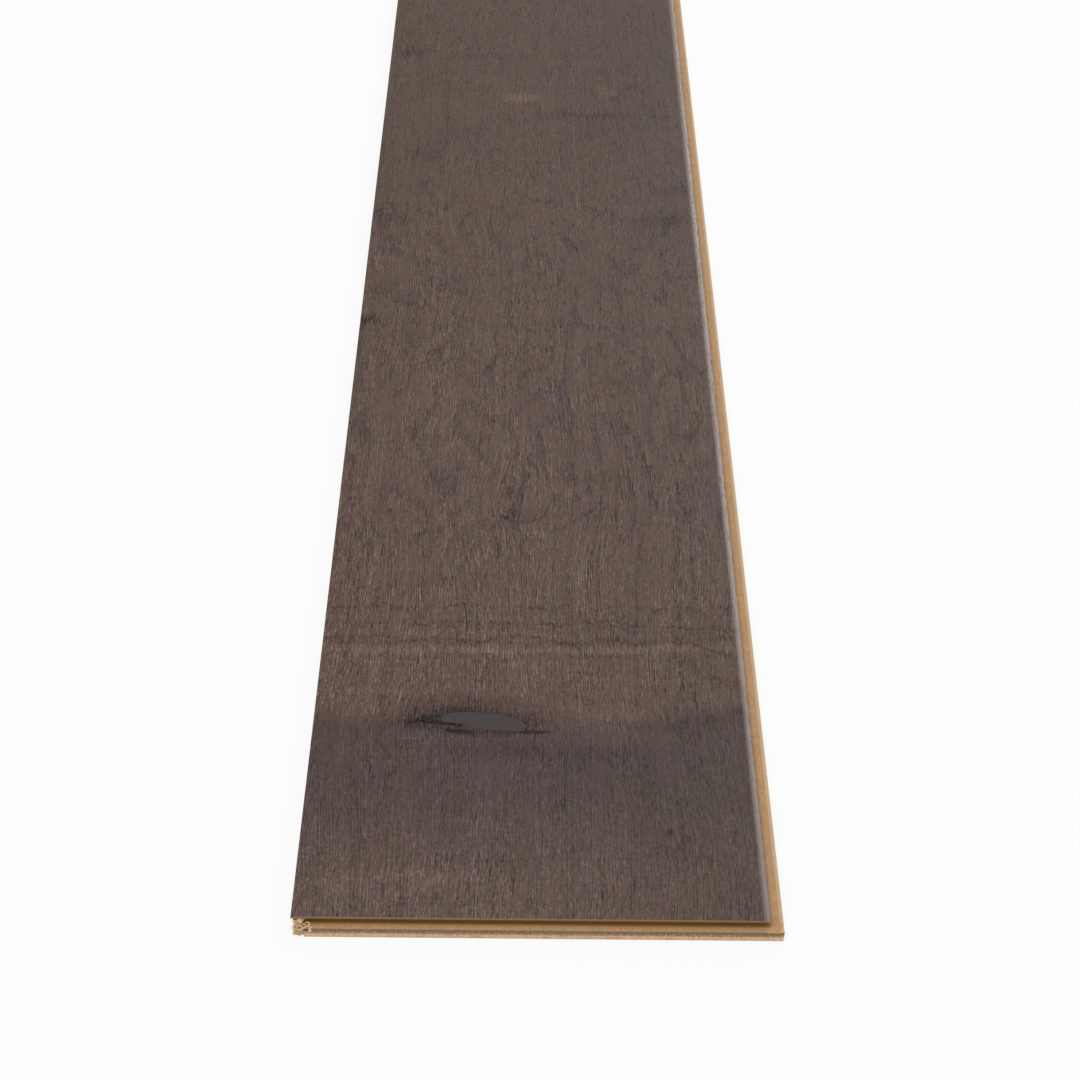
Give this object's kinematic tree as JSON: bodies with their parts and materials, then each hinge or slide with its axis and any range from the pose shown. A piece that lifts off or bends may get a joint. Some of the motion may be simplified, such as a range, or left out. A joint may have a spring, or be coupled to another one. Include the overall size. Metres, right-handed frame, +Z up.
{
  "type": "engineered floorboard",
  "caption": "Engineered floorboard: stained veneer face with a filled knot and rolled long edges, fibreboard core with click lips and hooks, pale backing veneer.",
  "frame": {"origin": "middle of the underside of the whole outline, lips included", "axes": "+Z up through the face, +Y along the board towards its hook end (the lip end faces -Y, towards the camera), +X across the board towards its lip side"},
  "size_m": [0.1952, 1.2236, 0.0075],
  "materials": {
    "stained_veneer": "dark brown stain under a low-sheen lacquer, fine grain along the board",
    "fibreboard": "milled tan fibreboard",
    "backing_veneer": "bare pale softwood veneer",
    "knot_putty": "smooth dark grey filler, low sheen"
  },
  "bodies": {
    "root": {"wear_layer": "stained_veneer", "core_board": "fibreboard", "backing_layer": "backing_veneer", "knot_filler": "knot_putty"}
  },
  "joints": []
}
